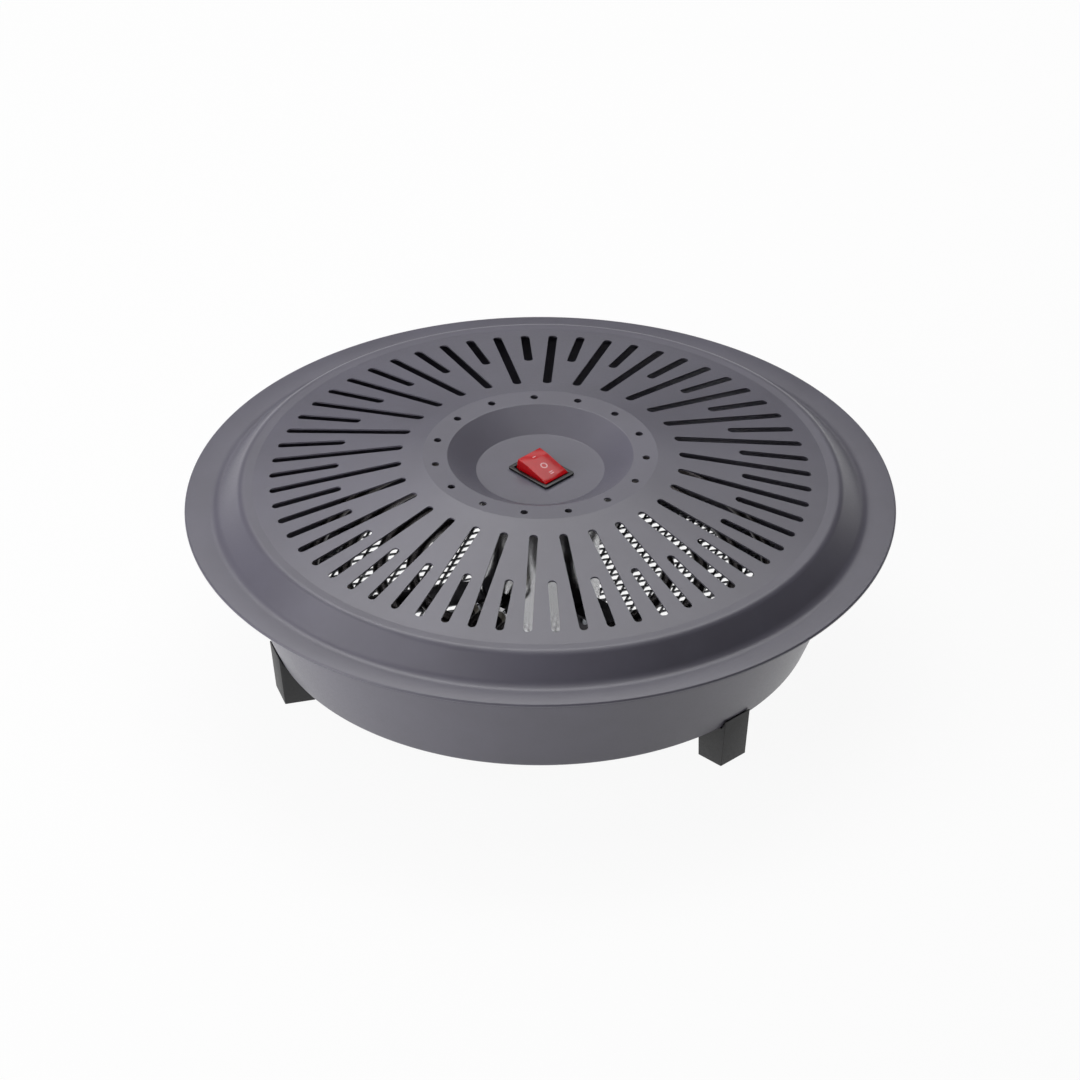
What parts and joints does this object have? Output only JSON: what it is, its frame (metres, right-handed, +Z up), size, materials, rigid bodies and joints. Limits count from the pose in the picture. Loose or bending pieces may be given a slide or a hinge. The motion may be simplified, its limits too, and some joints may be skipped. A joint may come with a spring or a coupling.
{
  "type": "electric brazier",
  "caption": "Round low electric heater: slotted dished cover over a flared pan on three feet, ringed heating rods on arms, mesh floor, rocker switch in the crown.",
  "frame": {"origin": "on the ground under the centre of the round body", "axes": "+Z up, +X to the right and -Y to the front as the picture shows the heater"},
  "size_m": [0.42, 0.42, 0.1417],
  "materials": {
    "powder_coat": "satin powder coat, warm violet grey",
    "arm_steel": "dark plain steel",
    "mesh_steel": "dark expanded steel",
    "rod_sheath": "oxidised sheath",
    "can_steel": "aluminised, satin",
    "zinc_plate": "zinc plated",
    "ceramic": "unglazed",
    "foot_plastic": "matte",
    "black_plastic": "satin",
    "red_plastic": "gloss, slightly translucent",
    "brass": "bright",
    "wire_sleeve": "heat resistant sleeve"
  },
  "bodies": {
    "housing": {"arm_rivet_left": "zinc_plate", "arm_rivet_rear": "zinc_plate", "arm_rivet_right": "zinc_plate", "base_pan": "powder_coat", "base_plate": "zinc_plate", "cable_gland": "black_plastic", "centre_can": "can_steel", "cover_nut_1": "zinc_plate", "cover_nut_2": "zinc_plate", "cover_nut_3": "zinc_plate", "earth_screw": "zinc_plate", "earth_tag": "brass", "element_inner": "rod_sheath", "element_outer": "rod_sheath", "floor_mesh": "mesh_steel", "foot_left": "foot_plastic", "foot_nut_left": "zinc_plate", "foot_nut_rear": "zinc_plate", "foot_nut_right": "zinc_plate", "foot_rear": "foot_plastic", "foot_right": "foot_plastic", "foot_screw_left": "zinc_plate", "foot_screw_rear": "zinc_plate", "foot_screw_right": "zinc_plate", "gland_nut": "black_plastic", "grille_cover": "powder_coat", "rod_cradle_inner_left": "arm_steel", "rod_cradle_inner_rear": "arm_steel", "rod_cradle_inner_right": "arm_steel", "rod_cradle_outer_left": "arm_steel", "rod_cradle_outer_rear": "arm_steel", "rod_cradle_outer_right": "arm_steel", "rod_pin_inner_live": "can_steel", "rod_pin_inner_neutral": "can_steel", "rod_pin_outer_live": "can_steel", "rod_pin_outer_neutral": "can_steel", "rod_seal_inner_live": "ceramic", "rod_seal_inner_neutral": "ceramic", "rod_seal_outer_live": "ceramic", "rod_seal_outer_neutral": "ceramic", "support_arm_left": "arm_steel", "support_arm_rear": "arm_steel", "support_arm_right": "arm_steel", "switch_body": "black_plastic", "switch_contact": "brass", "switch_tab_1": "brass", "switch_tab_2": "brass", "switch_tab_3": "brass", "terminal_block": "ceramic", "thermal_cutout": "can_steel", "wire_block_to_cutout": "wire_sleeve", "wire_cutout_to_switch": "wire_sleeve", "wire_inner_live": "wire_sleeve", "wire_inner_neutral": "wire_sleeve", "wire_outer_live": "wire_sleeve", "wire_outer_neutral": "wire_sleeve"},
    "rocker": {"switch_rocker": "red_plastic", "switch_plunger": "brass"}
  },
  "joints": [
    {"name": "switch_rock", "type": "hinge", "parent": "housing", "child": "rocker", "pos_m": [0.0006, -0.0022, 0.1308], "axis": [0.7145, 0.6997, 0], "range_deg": [-30, 0]}
  ]
}
